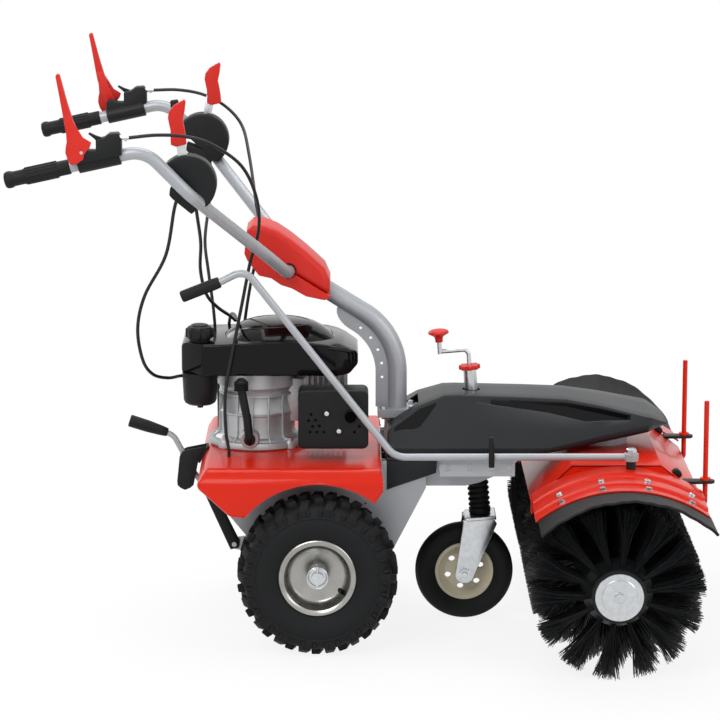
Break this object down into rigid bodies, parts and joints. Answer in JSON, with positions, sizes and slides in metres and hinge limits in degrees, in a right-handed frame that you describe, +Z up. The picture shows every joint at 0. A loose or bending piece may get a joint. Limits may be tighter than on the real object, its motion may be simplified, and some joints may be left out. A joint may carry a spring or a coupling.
{
  "type": "walk-behind power brush sweeper",
  "caption": "Walk-behind power sweeper: lugged drive wheels under an engine, adjustable caster, swivelling front brush with hood, U handlebar with levers.",
  "frame": {"origin": "on the ground, in the middle of the overall length and width", "axes": "+X forwards towards the brush, +Y to the machine's left, +Z up"},
  "size_m": [1.4305, 1.052, 1.2092],
  "materials": {
    "red_paint": "gloss red paint on sheet steel",
    "red_plastic": "moulded red plastic",
    "red_rod": "red painted steel rod",
    "grey_paint": "light grey metallic paint on steel",
    "black_plastic": "moulded black plastic",
    "cover_plastic": "satin dark grey plastic",
    "gloss_black": "gloss black plastic",
    "rubber": "black rubber",
    "tyre_rubber": "black tyre rubber",
    "bristle_plastic": "black polypropylene bristles",
    "cast_alloy": "cast aluminium",
    "zinc_steel": "zinc plated steel",
    "machined_steel": "machined steel",
    "sooty_steel": "heat tinted steel",
    "black_paint": "black paint on steel",
    "cream_plastic": "cream moulded plastic"
  },
  "bodies": {
    "machine": {"chassis_frame": "grey_paint", "rear_fender": "red_paint", "front_cover": "cover_plastic", "handle_column": "grey_paint", "clamp_upper_shell": "red_plastic", "clamp_lower_shell": "red_plastic", "handlebar": "grey_paint", "handle_grips": "rubber", "lever_brackets": "black_plastic", "control_pods": "black_plastic", "control_cables": "rubber", "crankcase": "cast_alloy", "finned_cylinder": "cast_alloy", "blower_shroud": "gloss_black", "fuel_tank": "black_plastic", "oil_filler": "black_plastic", "muffler": "sooty_steel", "muffler_guard": "black_paint", "spark_plug": "black_plastic", "transmission_case": "cast_alloy", "axle_bearings": "zinc_steel", "drive_belt": "rubber", "drive_housing": "cast_alloy", "caster_sleeve": "zinc_steel", "notch_plate": "grey_paint", "lever_guard": "black_plastic", "frame_bolts": "zinc_steel"},
    "right_clutch": {"right_clutch_lever": "red_plastic"},
    "left_clutch": {"left_clutch_lever": "red_plastic"},
    "right_latch": {"right_lever_latch": "black_plastic"},
    "left_latch": {"left_lever_latch": "black_plastic"},
    "right_gear": {"right_gear_lever": "red_plastic"},
    "left_gear": {"left_gear_lever": "red_plastic"},
    "throttle": {"throttle_lever": "black_plastic"},
    "rear_selector": {"rear_lever": "black_paint"},
    "filler_cap": {"fuel_cap": "black_plastic"},
    "crank_train": {"crankshaft": "machined_steel", "engine_pulley": "machined_steel"},
    "jackshaft": {"driven_pulley": "machined_steel"},
    "drive_axle": {"axle_shaft": "zinc_steel", "drive_rims": "zinc_steel", "right_tyre": "tyre_rubber", "left_tyre": "tyre_rubber", "hub_pins": "zinc_steel"},
    "height_crank": {"crank_handle": "zinc_steel"},
    "height_knob": {"crank_knob": "red_plastic"},
    "height_lock": {"lock_ring": "red_plastic"},
    "caster_slide": {"caster_stem": "rubber"},
    "caster_swivel": {"caster_fork": "zinc_steel"},
    "caster_wheel": {"caster_rim": "cream_plastic", "caster_tyre": "tyre_rubber"},
    "brush_head": {"brush_hood": "red_paint", "end_flaps": "rubber", "hood_bolts": "zinc_steel", "king_pin": "grey_paint", "box_hooks": "red_rod"},
    "brush_roll": {"brush_shaft": "black_paint", "right_bristles": "bristle_plastic", "left_bristles": "bristle_plastic"},
    "steering": {"steering_rod": "grey_paint"}
  },
  "joints": [
    {"name": "right_clutch_squeeze", "type": "hinge", "parent": "machine", "child": "right_clutch", "pos_m": [-0.5581, -0.415, 1.0552], "axis": [0, -1, 0], "range_deg": [0, 65], "stiffness_Nm_per_rad": 0.8, "springref_deg": -17.19},
    {"name": "left_clutch_squeeze", "type": "hinge", "parent": "machine", "child": "left_clutch", "pos_m": [-0.5581, 0.415, 1.0552], "axis": [0, -1, 0], "range_deg": [0, 65], "stiffness_Nm_per_rad": 0.8, "springref_deg": -17.19},
    {"name": "right_latch_flip", "type": "hinge", "parent": "machine", "child": "right_latch", "pos_m": [-0.5221, -0.415, 1.0752], "axis": [0, -1, 0], "range_deg": [0, 20], "stiffness_Nm_per_rad": 0.02, "springref_deg": -17.19},
    {"name": "left_latch_flip", "type": "hinge", "parent": "machine", "child": "left_latch", "pos_m": [-0.5221, 0.415, 1.0752], "axis": [0, -1, 0], "range_deg": [0, 20], "stiffness_Nm_per_rad": 0.02, "springref_deg": -17.19},
    {"name": "right_gear_shift", "type": "hinge", "parent": "machine", "child": "right_gear", "pos_m": [-0.3555, -0.352, 0.984], "axis": [0, 1, 0], "range_deg": [-18, 18]},
    {"name": "left_gear_shift", "type": "hinge", "parent": "machine", "child": "left_gear", "pos_m": [-0.3555, 0.352, 0.984], "axis": [0, 1, 0], "range_deg": [-18, 18]},
    {"name": "throttle_set", "type": "hinge", "parent": "machine", "child": "throttle", "pos_m": [-0.3555, -0.332, 0.984], "axis": [0, 1, 0], "range_deg": [-18, 18]},
    {"name": "rear_lever_pull", "type": "hinge", "parent": "machine", "child": "rear_selector", "pos_m": [-0.2795, -0.044, 0.172], "axis": [0, 1, 0], "range_deg": [-10, 3]},
    {"name": "filler_cap_turn", "type": "hinge", "parent": "machine", "child": "filler_cap", "pos_m": [-0.3475, -0.066, 0.623], "axis": [0, 0, 1], "range_deg": [0, 90]},
    {"name": "brush_head_swivel", "type": "hinge", "parent": "machine", "child": "brush_head", "pos_m": [0.4985, 0, 0.393], "axis": [0, 0, 1], "range_deg": [-19.5, 9.6]},
    {"name": "steering_rod_pivot", "type": "hinge", "parent": "brush_head", "child": "steering", "pos_m": [0.5385, -0.257, 0.408], "axis": [0, 0, 1], "range_deg": [-9.6, 19.5]},
    {"name": "brush_spin", "type": "hinge", "parent": "brush_head", "child": "brush_roll", "pos_m": [0.4985, 0, 0.178], "axis": [0, 1, 0], "continuous": true},
    {"name": "crankshaft_spin", "type": "hinge", "parent": "machine", "child": "crank_train", "pos_m": [-0.2295, 0, 0.548], "axis": [0, 0, 1], "continuous": true},
    {"name": "jackshaft_spin", "type": "hinge", "parent": "machine", "child": "jackshaft", "pos_m": [0.2985, 0, 0.393], "axis": [0, 0, 1], "continuous": true},
    {"name": "drive_axle_spin", "type": "hinge", "parent": "machine", "child": "drive_axle", "pos_m": [-0.1015, 0, 0.165], "axis": [0, 1, 0], "continuous": true},
    {"name": "height_crank_turn", "type": "hinge", "parent": "machine", "child": "height_crank", "pos_m": [0.2179, 0, 0.54], "axis": [-0.0767, 0, 0.9971], "range_deg": [-1800, 1800]},
    {"name": "height_knob_spin", "type": "hinge", "parent": "height_crank", "child": "height_knob", "pos_m": [0.1529, 0, 0.6023], "axis": [-0.0767, 0, 0.9971], "continuous": true},
    {"name": "height_lock_turn", "type": "hinge", "parent": "machine", "child": "height_lock", "pos_m": [0.2179, 0, 0.54], "axis": [-0.0767, 0, 0.9971], "range_deg": [0, 180]},
    {"name": "caster_lift", "type": "slide", "parent": "machine", "child": "caster_slide", "axis": [-0.0767, 0, 0.9971], "range_m": [-0.025, 0.025]},
    {"name": "caster_turn", "type": "hinge", "parent": "caster_slide", "child": "caster_swivel", "pos_m": [0.2365, 0, 0.298], "axis": [-0.0767, 0, 0.9971], "range_deg": [-90, 90]},
    {"name": "caster_wheel_spin", "type": "hinge", "parent": "caster_swivel", "child": "caster_wheel", "pos_m": [0.2085, 0, 0.104], "axis": [0, 1, 0], "continuous": true}
  ],
  "couplings": [
    {"joint": "steering_rod_pivot", "follows": "brush_head_swivel", "ratio": -1},
    {"joint": "crankshaft_spin", "follows": "brush_spin", "ratio": 12},
    {"joint": "jackshaft_spin", "follows": "brush_spin", "ratio": 10.737},
    {"joint": "caster_lift", "follows": "height_crank_turn", "m_per_rad": 0.00079577}
  ]
}
